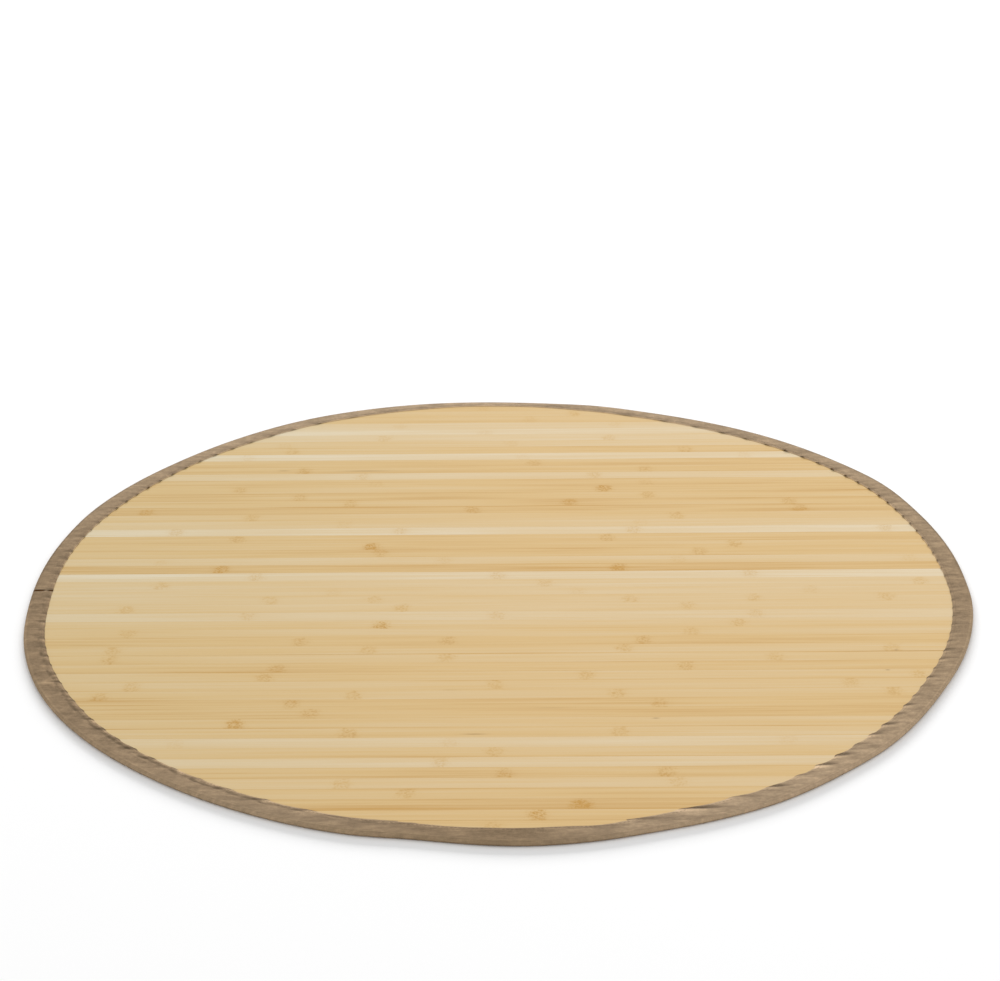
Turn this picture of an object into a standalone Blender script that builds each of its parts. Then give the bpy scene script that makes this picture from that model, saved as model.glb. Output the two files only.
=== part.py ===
"""A round bamboo rug, 1 m across, lying flat.

Bamboo slats lie side by side on a thin backing cloth and are trimmed to one round outline. A cloth tape is
folded over the rim and covers the ends of the slats. The tape's two ends meet at the left of the rug.

Metres, +Z up. The origin is on the underside at the middle. The slats run along X, and the front is at -Y.
"""

import math

import bmesh
import bpy

MM = 0.001

# One letter for each slat, from the front of the rug to the back.
SLAT_TONES = "hhhhhphpmpmmhhmmmhmmhmmpmmmmpdmhhhpmmhhhhhphhphmppphhhh"
TONE_COLOURS = {
    "p": (0.73, 0.57, 0.35),
    "m": (0.68, 0.50, 0.28),
    "h": (0.64, 0.45, 0.24),
    "d": (0.58, 0.38, 0.19),
}
TAPE_COLOUR = (0.27, 0.19, 0.125)
BACKING_COLOUR = (0.10, 0.075, 0.05)
BAMBOO_ROUGHNESS = 0.45
CLOTH_ROUGHNESS = 0.92

SLAT_PITCH = 18.257 * MM
FIRST_EDGE_Y = -499.06 * MM
SLAT_JOINT = 0.4 * MM
SLAT_THICK = 3.0 * MM
SLAT_EASE = 0.6 * MM
SLAT_END_INSET = 3.0 * MM
SLAT_BLANK_LENGTH = 1.04

BACKING_THICK = 1.2 * MM
BACKING_TO_TAPE = 0.6 * MM
TOUCH = 0.3 * MM
SLAT_FLOOR = BACKING_THICK + TOUCH

TAPE_THICK = 1.0 * MM
TAPE_TOP = SLAT_FLOOR + SLAT_THICK + TOUCH + TAPE_THICK
TAPE_UNDER_WIDTH = 22.0 * MM
TAPE_PUFF = 0.55 * MM
TAPE_SCALLOP = 0.8 * MM
FOLD_CORNER = 0.6 * MM
FOLD_SHOULDER = 2.4 * MM
FOLD_DROP = 0.8 * MM
TAPE_JOIN_GAP = 0.9 * MM
TAPE_JOIN_SLAT = 27
TAPE_SIDE_REACH = 0.464
TAPE_CAP_STEPS = 22

OUTLINE_STEPS = 180
CUTTER_THICK = 12.0 * MM
WELD_DISTANCE = 0.01 * MM
SHARP_EDGE_DEGREES = 40

# How often the angle of a point at a known height in Y is worked out again from the rim there.
ANGLE_ROUNDS = 8

# A walk round the rim. Angles are in degrees from +X towards the back.
# rim: middle of the rug to the rim. tape: width of the tape on top.
# pucker: how much the tape is drawn down between the slats, 0 for smooth.
RIM_WALK = (
    # angle, rim mm, tape mm, pucker
    (0, 499.3, 23.2, 0.6),
    (7, 499.8, 24.0, 0.6),
    (20, 502.4, 24.1, 0.6),
    (29, 506.6, 25.2, 0.6),
    (38, 503.5, 23.6, 0.6),
    (50, 500.3, 23.9, 0.5),
    (60, 496.5, 22.2, 0.4),
    (69, 494.2, 22.3, 0.2),
    (76, 496.0, 21.0, 0.1),
    (83, 493.8, 16.2, 0.1),
    (90, 495.2, 15.6, 0.1),
    (97, 498.7, 15.8, 0.1),
    (105, 502.4, 18.7, 0.1),
    (118, 506.0, 21.4, 0.2),
    (130, 502.9, 23.8, 0.4),
    (140, 500.3, 23.2, 0.5),
    (150, 500.8, 26.0, 0.5),
    (158, 500.8, 26.1, 0.5),
    (167, 498.1, 23.4, 0.5),
    (183, 496.4, 23.2, 0.5),
    (195, 501.1, 23.6, 0.5),
    (207, 504.0, 25.9, 0.6),
    (218, 502.7, 24.0, 0.5),
    (229, 499.6, 23.9, 0.4),
    (240, 498.3, 24.0, 0.3),
    (255, 497.6, 23.5, 0.2),
    (261, 493.7, 23.6, 0.2),
    (266, 496.2, 25.7, 0.2),
    (273, 501.2, 26.8, 0.3),
    (281, 501.7, 26.0, 0.5),
    (287, 500.2, 20.6, 0.8),
    (293, 502.1, 22.2, 1.0),
    (301, 504.0, 23.6, 1.0),
    (311, 501.7, 22.6, 1.0),
    (318, 501.6, 24.2, 1.0),
    (332, 496.7, 22.6, 1.0),
    (343, 498.9, 22.6, 0.9),
    (355, 500.6, 23.3, 0.7),
)


def walk_value(angle, column):
    """A column of RIM_WALK at an angle in radians, on a smooth closed curve through its rows."""
    degrees = math.degrees(angle) % 360
    rows = len(RIM_WALK)
    after = next((i for i, row in enumerate(RIM_WALK) if row[0] > degrees), rows)

    def row_at(i):
        row = RIM_WALK[i % rows]
        return row[0] + 360 * (i // rows), row[column]

    (a0, v0), (a1, v1), (a2, v2), (a3, v3) = (row_at(after + k) for k in (-2, -1, 0, 1))
    slope_in = (v2 - v0) / (a2 - a0)
    slope_out = (v3 - v1) / (a3 - a1)
    span = a2 - a1
    t = (degrees - a1) / span
    bend = (2 * t - 3) * t * t
    return (
        v1 * (1 + bend)
        - v2 * bend
        + slope_in * span * t * (1 - t) ** 2
        - slope_out * span * t * t * (1 - t)
    )


def rim(angle):
    return walk_value(angle, 1) * MM


def tape_width(angle):
    return walk_value(angle, 2) * MM


def pucker(angle):
    return walk_value(angle, 3)


def make_material(name, colour, roughness):
    material = bpy.data.materials.new(name)
    material.use_nodes = True
    shader = material.node_tree.nodes["Principled BSDF"]
    shader.inputs["Base Color"].default_value = (*colour, 1)
    shader.inputs["Roughness"].default_value = roughness
    shader.inputs["Metallic"].default_value = 0
    return material


def add_object(name, data, collection, material=None, parent=None):
    obj = bpy.data.objects.new(name, data)
    collection.objects.link(obj)
    obj.parent = parent
    if material:
        data.materials.append(material)
    return obj


def disc_curve(name, inset, thickness):
    """A flat disc of the rug's outline, drawn in from the rim by inset, centred on its own mid-height."""
    curve = bpy.data.curves.new(name, "CURVE")
    curve.dimensions = "2D"
    curve.fill_mode = "BOTH"
    curve.extrude = thickness / 2
    outline = curve.splines.new("POLY")
    outline.points.add(OUTLINE_STEPS - 1)
    for i, point in enumerate(outline.points):
        angle = 2 * math.pi * i / OUTLINE_STEPS
        radius = rim(angle) - inset
        point.co = (radius * math.cos(angle), radius * math.sin(angle), 0, 1)
    outline.use_cyclic_u = True
    return curve


def make_slat_cutter(collection):
    """A thick disc with the outline that all the slats are trimmed to."""
    curve = disc_curve("slat_outline", SLAT_END_INSET, CUTTER_THICK)
    guide = add_object("slat_outline", curve, collection)
    bpy.context.view_layer.update()
    mesh = bpy.data.meshes.new_from_object(guide.evaluated_get(bpy.context.evaluated_depsgraph_get()))
    bpy.data.objects.remove(guide)
    welded = bmesh.new()
    welded.from_mesh(mesh)
    bmesh.ops.remove_doubles(welded, verts=welded.verts, dist=WELD_DISTANCE)
    bmesh.ops.recalc_face_normals(welded, faces=welded.faces)
    welded.to_mesh(mesh)
    welded.free()
    cutter = add_object("slat_cutter", mesh, collection)
    cutter.location.z = SLAT_FLOOR + SLAT_THICK / 2
    cutter.hide_render = True
    cutter.display_type = "WIRE"
    return cutter


def slat_blank(name):
    """An untrimmed slat: a long flat strip whose two top edges are marked for easing."""
    strip = bmesh.new()
    bmesh.ops.create_cube(strip, size=1)
    size = (SLAT_BLANK_LENGTH, SLAT_PITCH - SLAT_JOINT, SLAT_THICK)
    bmesh.ops.scale(strip, vec=size, verts=strip.verts)
    weight = strip.edges.layers.float.new("bevel_weight_edge")
    for edge in strip.edges:
        start, end = edge.verts
        runs_along = abs(start.co.x - end.co.x) > SLAT_PITCH
        edge[weight] = float(runs_along and start.co.z > 0)
    mesh = bpy.data.meshes.new(name)
    strip.to_mesh(mesh)
    strip.free()
    return mesh


def make_slats(collection, parent, cutter):
    materials = {
        tone: make_material(f"bamboo_{tone}", colour, BAMBOO_ROUGHNESS)
        for tone, colour in TONE_COLOURS.items()
    }
    for index, tone in enumerate(SLAT_TONES):
        name = f"slat_{index + 1:02d}"
        slat = add_object(name, slat_blank(name), collection, materials[tone], parent)
        slat.location.y = FIRST_EDGE_Y + (index + 0.5) * SLAT_PITCH
        slat.location.z = SLAT_FLOOR + SLAT_THICK / 2
        ease = slat.modifiers.new("eased edges", "BEVEL")
        ease.limit_method = "WEIGHT"
        ease.width = SLAT_EASE
        ease.segments = 1
        trim = slat.modifiers.new("trim", "BOOLEAN")
        trim.operation = "INTERSECT"
        trim.object = cutter


def make_backing(collection, parent):
    """The cloth that the slats are stuck to. It ends level with the edge of the tape underneath."""
    curve = disc_curve("backing", TAPE_UNDER_WIDTH + BACKING_TO_TAPE, BACKING_THICK)
    material = make_material("backing", BACKING_COLOUR, CLOTH_ROUGHNESS)
    backing = add_object("backing", curve, collection, material, parent)
    backing.location.z = BACKING_THICK / 2


def side_angle(y, side, covered):
    """The angle where a line along X at height y meets the rim, or with covered the tape's top edge."""
    angle = 0 if side > 0 else math.pi
    for _ in range(ANGLE_ROUNDS):
        radius = rim(angle) - (tape_width(angle) if covered else 0)
        lean = math.asin(y / radius)
        angle = lean if side > 0 else math.pi - lean
    return angle % (2 * math.pi)


def side_stations(side):
    """Sections of the tape along the joints and the slat middles at one side, front to back."""
    stations = []
    for half in range(2 * len(SLAT_TONES) + 1):
        y = FIRST_EDGE_Y + half * SLAT_PITCH / 2
        if abs(y) <= TAPE_SIDE_REACH:
            stations.append((y, side_angle(y, side, False), side_angle(y, side, True), half % 2))
    return stations


def cap_stations(start, end):
    """Sections between two side sections, where the tape runs along the slats and has no joints to dip into."""
    stations = []
    for step in range(1, TAPE_CAP_STEPS):
        t = step / TAPE_CAP_STEPS
        rim_angle = start[1] + t * ((end[1] - start[1]) % (2 * math.pi))
        edge_angle = start[2] + t * ((end[2] - start[2]) % (2 * math.pi))
        stations.append((None, rim_angle, edge_angle, 0.5))
    return stations


def tape_stations():
    """Every section of the tape, from its end in front of the join, counter-clockwise to its end behind it.

    A section is its height in Y, its angle at the rim, its angle at the tape's top edge and its crest,
    which is 0 over a joint and 1 over the middle of a slat.
    """
    join_y = FIRST_EDGE_Y + TAPE_JOIN_SLAT * SLAT_PITCH
    ends = [
        (y, side_angle(y, -1, False), side_angle(y, -1, True), 0)
        for y in (join_y - TAPE_JOIN_GAP / 2, join_y + TAPE_JOIN_GAP / 2)
    ]
    left = side_stations(-1)
    right = side_stations(1)
    left_front = [station for station in left if station[0] < join_y - TAPE_JOIN_GAP]
    left_back = [station for station in left if station[0] > join_y + TAPE_JOIN_GAP]
    return [
        ends[0],
        *reversed(left_front),
        *cap_stations(left_front[0], right[0]),
        *right,
        *cap_stations(right[-1], left_back[-1]),
        *reversed(left_back),
        ends[1],
    ]


def tape_section(angle, crest):
    """The tape's outer face from its top edge round the rim to its lower edge.

    A point is its inset from the rim, its height, and its share of the slant that follows the joints on top.
    """
    width = tape_width(angle)
    lift = TAPE_PUFF * pucker(angle) * crest
    top_edge = width + TAPE_SCALLOP * pucker(angle) * (crest - 0.5)
    return (
        (top_edge, TAPE_TOP + lift, 1),
        (width / 2, TAPE_TOP + lift, 0.5),
        (FOLD_SHOULDER, TAPE_TOP + lift / 2, FOLD_SHOULDER / width),
        (FOLD_CORNER, TAPE_TOP - FOLD_DROP, 0),
        (0, TAPE_TOP / 2, 0),
        (FOLD_CORNER, FOLD_DROP, 0),
        (FOLD_SHOULDER, 0, 0),
        (TAPE_UNDER_WIDTH, 0, 0),
    )


def make_binding(collection, parent):
    """The tape: one open strip lofted through its sections, then given the thickness of the turned-in cloth."""
    strip = bmesh.new()
    rows = []
    for _, rim_angle, edge_angle, crest in tape_stations():
        row = []
        slant = (edge_angle - rim_angle + math.pi) % (2 * math.pi) - math.pi
        for inset, height, slant_share in tape_section(rim_angle, crest):
            angle = rim_angle + slant * slant_share
            radius = rim(angle) - inset
            row.append(strip.verts.new((radius * math.cos(angle), radius * math.sin(angle), height)))
        rows.append(row)
    for row, next_row in zip(rows, rows[1:]):
        for i in range(len(row) - 1):
            strip.faces.new((row[i], row[i + 1], next_row[i + 1], next_row[i]))
    mesh = bpy.data.meshes.new("binding")
    strip.to_mesh(mesh)
    strip.free()
    material = make_material("tape", TAPE_COLOUR, CLOTH_ROUGHNESS)
    binding = add_object("binding", mesh, collection, material, parent)
    cloth = binding.modifiers.new("cloth", "SOLIDIFY")
    cloth.thickness = TAPE_THICK
    cloth.offset = -1
    cloth.use_even_offset = True
    mesh.shade_smooth()
    mesh.set_sharp_from_angle(angle=math.radians(SHARP_EDGE_DEGREES))


def new_collection(name):
    collection = bpy.data.collections.new(name)
    bpy.context.scene.collection.children.link(collection)
    return collection


def main():
    for obj in list(bpy.data.objects):
        bpy.data.objects.remove(obj)
    rug_parts = new_collection("bamboo rug")
    cutters = new_collection("cutters")
    rug = add_object("rug", None, rug_parts)
    make_slats(rug_parts, rug, make_slat_cutter(cutters))
    make_backing(rug_parts, rug)
    make_binding(rug_parts, rug)


main()
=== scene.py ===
"""The look of a round bamboo rug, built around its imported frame.

Metres, +Z up. The slats run along X, the front of the rug is at -Y and its underside lies at z = 0.
"""

import math
import random

import bpy
import numpy as np
from mathutils import Matrix, Vector, noise


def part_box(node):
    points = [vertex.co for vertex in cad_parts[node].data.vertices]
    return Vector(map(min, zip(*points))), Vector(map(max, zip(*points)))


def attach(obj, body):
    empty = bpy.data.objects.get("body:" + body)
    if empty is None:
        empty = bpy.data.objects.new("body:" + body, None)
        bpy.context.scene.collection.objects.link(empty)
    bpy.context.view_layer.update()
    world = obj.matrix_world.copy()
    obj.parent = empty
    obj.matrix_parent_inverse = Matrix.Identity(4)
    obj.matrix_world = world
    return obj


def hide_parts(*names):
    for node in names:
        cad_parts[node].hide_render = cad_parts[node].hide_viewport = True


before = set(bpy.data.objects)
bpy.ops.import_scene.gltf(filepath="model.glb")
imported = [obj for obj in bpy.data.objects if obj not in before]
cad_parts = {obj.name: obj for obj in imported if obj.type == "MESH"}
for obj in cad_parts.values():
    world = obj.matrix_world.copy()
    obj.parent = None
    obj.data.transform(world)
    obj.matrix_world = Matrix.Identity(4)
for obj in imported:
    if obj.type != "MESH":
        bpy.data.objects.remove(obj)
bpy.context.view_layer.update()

MM = 0.001
BODY = "root"
FULL_TURN = 2 * math.pi

# The camera, in degrees, metres and pixels of the 1000 x 981 frame.
CAMERA_AZIMUTH = -0.8123
CAMERA_ELEVATION = 25.092
CAMERA_ROLL = -0.7610
CAMERA_DISTANCE = 2.8797
CAMERA_TARGET = Vector((0.00027, 0.2459, 0))
CAMERA_FOCAL_PIXELS = 2489.2
FRAME_WIDTH = 1000
SENSOR_MM = 36

# Light. LIGHT_LEVEL is how bright a white surface facing up looks, so colours can be given as they show.
SKY_STRENGTH = 0.70
LAMPS = (
    # name, power in watts, width and height in metres, place
    ("lamp_behind", 1880, 8.4, 3.1, (-0.4, 12.0, 3.6)),
    ("lamp_at_right", 4, 1.2, 1.2, (1.9, 0.2, 1.5)),
)
LIGHT_LEVEL = 1.06
FLOOR_SIZE = 40
FLOOR_SHADE = 0.981

# Bamboo, as it shows, 0 to 255, and the painted shade that multiplies it towards the left, where less light
# falls.
PALEST_BAMBOO = (232, 215, 184)
PALE_BAMBOO = (228, 206, 168)
HONEY_BAMBOO = (224, 191, 136)
DARK_HONEY_BAMBOO = (217, 181, 125)
DEEP_HONEY_BAMBOO = (208, 164, 98)
NODE_BROWN = (192, 143, 62)
JOINT_BROWN = (128, 84, 38)
# Painted shade: the bamboo is darker towards the left, where less light falls.
LEFT_PAINTED_SHADE = (0.93, 0.965, 0.98, 1)
BAMBOO_GLOSS = 0.02
BAMBOO_SPECULAR = 0.3
BAMBOO_ROUGHNESS = 0.5

# One digit for each slat, front to back: 0 for cream to 5 for dark honey. TONES places each in the ramp.
SLAT_TONES = "4445424131" "3344333433" "4331222205" "2444023544" "4414404210" "13344"
TONES = (0.11, 0.30, 0.45, 0.57, 0.69, 0.80)

# One digit for each joint, from the one in front of slat 1: 0 where it hardly shows to 9 for a clear line.
JOINT_LINES = "0334332562" "4932345439" "0221003123" "3344320264" "5242250632" "211100"
CLEAREST_LINE = 9

# The growth rings that show on the slats, in centimetres along X.
SLAT_MARKS = {
    2: (0,), 3: (4,), 4: (8,), 5: (-8,), 6: (-14, 17), 7: (1, 16), 8: (-5,), 9: (0,),
    11: (-14, 12), 12: (-25,), 13: (-18,), 14: (-20, 16), 15: (-39, -14, 12, 39),
    16: (-36, 0, 35), 17: (-23, 9, 42), 18: (-22, 19), 19: (-39, -5, 28), 20: (-39, -13, 13, 40),
    21: (-20, -5, 15), 22: (-38, 20), 23: (-12, 25), 24: (-26, 0, 27), 25: (-39, -10, 20),
    26: (-24, -13, 14, 27, 41), 28: (-36, 5, 45), 29: (-26, 0, 27), 30: (-30, 13), 32: (-13, 22),
    33: (-14, 26), 34: (-29, 12), 35: (-36, -11, 15, 43), 37: (-28, 20), 38: (-40, -3, 34),
    39: (-17, 8, 33), 40: (-23, 17), 41: (-30, 12), 43: (-16, 11), 44: (-23, 17), 45: (4,),
    47: (-25, 22), 49: (-14, 13), 53: (9,),
}
STRONG_MARKS = {(3, 4), (4, 8), (33, -14), (41, 12), (23, -12), (30, 13), (30, -30), (12, -25)}

# How strongly rings show, how far apart faint ones lie in metres, and how far across its slat a ring sits.
STRONG_MARK = 0.9
USUAL_MARK = 0.46
FAINT_MARK = 0.2
MARK_REACH = 26 * MM
MARK_PITCH = (0.24, 0.34)
MARK_HALF_LENGTH = 5.5 * MM
MARK_HALF_SPREAD = 0.78
MARK_FORCE = (0.75, 1)
MARK_SEAT = (-0.5, 0.3)
MARK_FAR = 0.1

# How much darker one side of a slat can be than its middle.
LEAN = 0.07

# Short dark flecks in the fibres.
FLECKS = (
    # x mm, y mm, half length mm, half width mm, darkness
    (155, -283, 3.0, 0.9, 0.5),
    (-19, -311, 10.0, 0.8, 0.55),
    (-45, -226, 9.0, 1.0, 0.15),
    (54, -262, 15.0, 1.0, 0.15),
    (-254, 295, 6.0, 1.2, 0.4),
    (-158, 293, 26.0, 1.4, 0.4),
    (404, -150, 2.0, 1.0, 0.5),
    (390, -191, 2.0, 1.0, 0.5),
)

# Slats. SLAT_JOINT_MM is the least and the most that an ordinary joint opens.
SLAT_STATIONS = 64
SLAT_EASE = 0.03 * MM
SLAT_FOOT = 0.3 * MM
SLAT_CROWN = 0.02 * MM
SLAT_SINK = 0.012 * MM
SLAT_JOINT_MM = (0.0, 0.02)
JOINT_SEED = 100
OPEN_JOINT = 0.5 * MM
EASE_STEPS = 4
CROWN_PLACES = (-0.97, -0.6, -0.2, 0.2, 0.6, 0.97)
CLIP = 0.4 * MM

# Joints that stand open, their sides coloured darker: the slat behind the joint, from and to in centimetres,
# and how dark.
DARK_JOINTS = (
    # slat, from cm, to cm, darkness
    (20, -38, -10, 0.12),
    (20, 35, 47, 0.25),
)
JOINT_FADE = 0.04

# Binding tape. Past SIDE_REACH, at the front and back, it runs along the slats. JOIN_TOUCH is where across
# it, from the rim, its ends touch.
TAPE_THICK = 1.0 * MM
TAPE_CLEAR = 0.3 * MM
RIM_TRIM = 0.8 * MM
TAPE_MIDDLE_INSET = 14 * MM
FOLD_REACH = 2.4 * MM
SIDE_REACH = 0.464
ROWS_A_SLAT = 11
ROW_CROWDING = 0.5
CAP_ROWS = 110
TOP_STEPS = 8
FOLD_STEPS = 6
FADED_FOLD_STEPS = 2
JOIN_SLAT = 26.82
JOIN_GAP = 1.5 * MM
JOIN_ROLL = 0.35 * MM
JOIN_TOUCH = 0.65
JOIN_NARROWEST = 0.2
RING_STEPS = 1440
RING_SMOOTH = math.radians(1.6)
SAME_LEVEL = 0.3 * MM
SAME_ANGLE = math.radians(0.6)
RIM_DEPTH = 0.5 * MM

# Columns across the tape, in millimetres: on the top face, their distance from the inner edge and how far
# each turns down there; on the lower flap, their distance from the rim.
TOP_FROM_EDGE = (0, 0.08, 0.3, 0.8, 1.6, 2.5, 3.2, 3.9, 5.0, 6.6)
EDGE_FALL = (1.0, 0.88, 0.74, 0.56, 0.38, 0.26, 0.18, 0.12, 0.05, 0)
UNDER_INSETS = (7, 12, 17, 21.2, 22)
SEAM_COLUMN = 6
NOTCH_COLUMNS = 4
TURNED_COLUMNS = 3

# Round the rim, in degrees from +X towards the back: depth of the creases, lift of the inner edge at the
# joints, how crumpled the hem beside the seam is, how faded the cloth is and how much painted light pales
# it, or below 0 how much painted shade darkens it, and how far the inner edge is trimmed, in millimetres.
TAPE_COLUMNS = ("angle", "crease", "lift", "hem", "fade_and_light", "trim_mm")
TAPE_WALK = (
    (0, 0.35, 0.3, 0.0, 0.14, 2.2),
    (15, 0.4, 0.8, 0.0, 0.33, 2.8),
    (38, 0.4, 0.9, 0.0, 0.42, 3.5),
    (60, 0.2, 0.4, 0.0, 0.53, 4.0),
    (76, 0.1, 0.05, 0.0, 0.68, 5.4),
    (90, 0.1, 0.0, 0.0, 0.85, 3.7),
    (105, 0.1, 0.05, 0.0, 0.68, 3.3),
    (130, 0.3, 0.5, 0.0, 0.53, 3.6),
    (150, 0.4, 0.75, 0.0, 0.34, 4.1),
    (170, 0.5, 0.3, 0.1, 0.13, 2.6),
    (185, 0.5, 0.1, 0.2, 0.04, 1.7),
    (207, 0.5, 0.4, 0.8, 0.06, 2.2),
    (229, 0.4, 0.5, 1.0, 0.20, 1.8),
    (245, 0.4, 0.4, 0.8, 0.32, 1.5),
    (257, 0.3, 0.1, 0.3, 0.10, 2.9),
    (272, 0.3, 0.0, 0.2, -0.02, 2.8),
    (287, 0.8, 0.2, 0.3, 0.42, 1.8),
    (300, 1.0, 0.5, 0.2, 0.54, 1.4),
    (318, 0.9, 0.5, 0.1, 0.48, 2.0),
    (335, 0.7, 0.4, 0.0, 0.29, 2.1),
    (350, 0.45, 0.3, 0.0, 0.16, 2.1),
)

# Creases across the tape from the joints: how strong they are, and the second ones beside some of them.
CREASE_SEED = 4
CREASE_FORCE = (0.35, 1.25)
SECOND_CREASE_MM = 6
SECOND_CREASE_FORCES = (0, 0, 0.5, 0.7)
SECOND_CREASE_WIDTH = 0.8
CREASE_DEPTH = 0.9 * MM
CREASE_HALF_WIDTH = 2.3 * MM
CREASE_STARTS = 0.42
CREASE_GROWS = 0.4
PILLOW_HEIGHT = 0.5 * MM
CAP_PILLOW = 0.3

# The inner edge: it bumps out, lifts and is scalloped at the joints, and is held down in the back half.
BUMP_REACH = 1.5 * MM
BUMP_PLACE = -1.4 * MM
BUMP_HALF_WIDTH = 2.2 * MM
LIFT_HEIGHT = 1.7 * MM
LIFT_HALF_WIDTH = 2.5 * MM
LIFT_REACH = 2.6 * MM
EDGE_HOLD = 2.0 * MM
EDGE_JAG = 0.9 * MM
SCALLOP_REACH = 1.7 * MM
SCALLOP_HALF_WIDTH = 3.4 * MM
JAG_GAIN = 2
JAG_FLOOR = 0.3
HOLD_TURN = 3
LEAST_LIFT = 0.5

# The inside of the cloth follows this share of the edge's fall, and sinks by this share of its clearance.
EDGE_SEAT = 0.25
SEAT_SHARE = 0.8

# The hem and the unevenness of the cloth.
HEM_WIDTH = 5.5 * MM
HEM_HALF_WIDTH = 1.1 * MM
HEM_DEPTH = 0.4 * MM
HEM_RISE = 0.3 * MM
HEM_WANDER = 1.3 * MM
CRUMPLE_HEIGHT = 0.3 * MM
HEM_FOLD_HEIGHT = 0.4 * MM
SEAM_DEPTH = 0.12 * MM
SEAM_HALF_WIDTH = 0.8 * MM
RIPPLE_HEIGHT = 0.32 * MM

# Smooth noise: how fast it changes along X, Y and Z, per metre, and its seed.
WAVES = ((34, 150, 1), 1)
FINE_WAVES = ((110, 330, 1), 2)
CRUMPLES = ((170, 260, 1), 3)
DIMPLES = ((35, 35, 1), 5)
HEM_FOLDS = ((30, 75, 1), 6)
JAGS = ((80, 80, 1), 8)

# How much painted shade each feature puts on the tape. Below 0 it is painted light, which makes the tape
# paler.
CREASE_DARK = 1.1
CREASE_LIGHT = -0.9
WAVE_DARK = -0.3
CRUMPLE_DARK = -0.9
HEM_FOLD_DARK = -0.45
TURNED_DARK = -0.9
HEM_LINE_DARK = 0.95
HEM_LINE_USUAL = 0.7
HEM_LINE_MOST = 1.3
HEM_ROLL_DARK = -0.25
NOTCH_DARK = 2.8
NOTCH_POWER = 1.4
RIM_DARK_IN_FRONT = -0.3
RIM_DARK_BEHIND = 0.5
# Painted shadow for the inside of the cloth and the join.
HOLLOW_SHADOW_DARK = 2
JOIN_DARK_GAIN = 3
JOIN_DARK_FLOOR = 0.3

# Thread.
STITCH_PITCH = 3.9 * MM
STITCH_LENGTH = 3.1 * MM
THREAD_RADIUS = 0.2 * MM
THREAD_SIDES = 6
THREAD_TWIST = 0.5 * MM
UNDER_SEAM_RISE = 0.2 * MM
SEAM_MARGIN = 2 * MM
STITCH_RINGS = (
    # share of the length, share of the radius, rise in radii
    (0, 0.45, -0.9),
    (0.16, 0.9, 0.0),
    (0.5, 1, 0.35),
    (0.84, 0.9, 0.0),
    (1, 0.45, -0.9),
)

# Cloth, as it shows, 0 to 255. TAPE_SHADOW is the light left on it where it is darkened by 1.
TAPE_COLOUR = (143, 121, 94)
# Painted shadow, for the inside of the cloth and the join's gap.
TAPE_HOLLOW_SHADOW = (98, 64, 28)
# Pale cloth: faded, and lit by painted light.
TAPE_FADED_AND_LIT = (197, 172, 142)
THREAD_COLOUR = (138, 114, 88)
THREAD_DARK = (108, 86, 60)
BACKING_COLOUR = (84, 66, 50)
BACKING_LIGHT = (108, 88, 69)
WEAVE_PITCH = 0.62 * MM
TAPE_SHADOW = 0.5
CLOTH_ROUGHNESS = 0.9
CLOTH_SPECULAR = 0.2

# Backing.
BACKING_RINGS = 34
BACKING_STEPS = 220
BACKING_CENTRE = 8 * MM
BACKING_EASE = 0.35 * MM
BACKING_DIMPLE = 0.08 * MM


def cad_vertices(node):
    """The points of a node's CAD mesh."""
    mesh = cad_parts[node].data
    return np.array([vertex.co for vertex in mesh.vertices])


def linear(colour):
    """A colour given as 0 to 255, as linear light."""
    shares = (channel / 255 for channel in colour)
    return [c / 12.92 if c <= 0.04045 else ((c + 0.055) / 1.055) ** 2.4 for c in shares]


def albedo(colour, gloss=0.0):
    """The surface colour that shows as this 0 to 255 colour in the scene's light."""
    return (*(max(c - gloss, 0.002) / LIGHT_LEVEL for c in linear(colour)), 1)


def bell(distance, half_width):
    """1 at no distance, falling smoothly to 0.37 at the half width and towards 0 past it."""
    return np.exp(-((distance / half_width) ** 2))


def polar(radius, angle, z):
    """Points round the rug's middle, at a height."""
    height = np.broadcast_to(z, np.shape(radius))
    return np.stack([radius * np.cos(angle), radius * np.sin(angle), height], axis=-1)


def grid_mesh(name, points, caps=None):
    """A mesh over rows of points, where each row is a closed loop. caps fills the first and last rows."""
    rows, columns = points.shape[:2]
    index = np.arange(rows * columns).reshape(rows, columns)
    around = np.hstack([index, index[:, :1]])
    corners = (around[:-1, :-1], around[1:, :-1], around[1:, 1:], around[:-1, 1:])
    faces = np.stack(corners, axis=-1).reshape(-1, 4).tolist()
    if caps == "face":
        faces += [index[0].tolist(), index[-1][::-1].tolist()]
    if caps == "strip":
        for row, turned in ((index[0], False), (index[-1], True)):
            for j in range(columns // 2 - 1):
                quad = [row[j], row[j + 1], row[columns - 2 - j], row[columns - 1 - j]]
                faces.append(quad[::-1] if turned else quad)
    mesh = bpy.data.meshes.new(name)
    mesh.from_pydata(points.reshape(-1, 3).tolist(), [], faces)
    mesh.shade_smooth()
    return mesh


def add_values(mesh, name, values):
    """Stores a number for each point of the mesh, for its material to read."""
    values = np.broadcast_to(np.asarray(values, np.float32), (len(mesh.vertices),))
    mesh.attributes.new(name, "FLOAT", "POINT").data.foreach_set("value", values.copy())


def add_piece(name, mesh, material, slot, *nodes):
    """A piece that rides on the rug's body and stands in for nodes, if it has any."""
    piece = bpy.data.objects.new(name, mesh)
    bpy.context.scene.collection.objects.link(piece)
    mesh.materials.append(material)
    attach(piece, BODY)
    if nodes:
        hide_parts(*nodes)
    return piece


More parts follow.
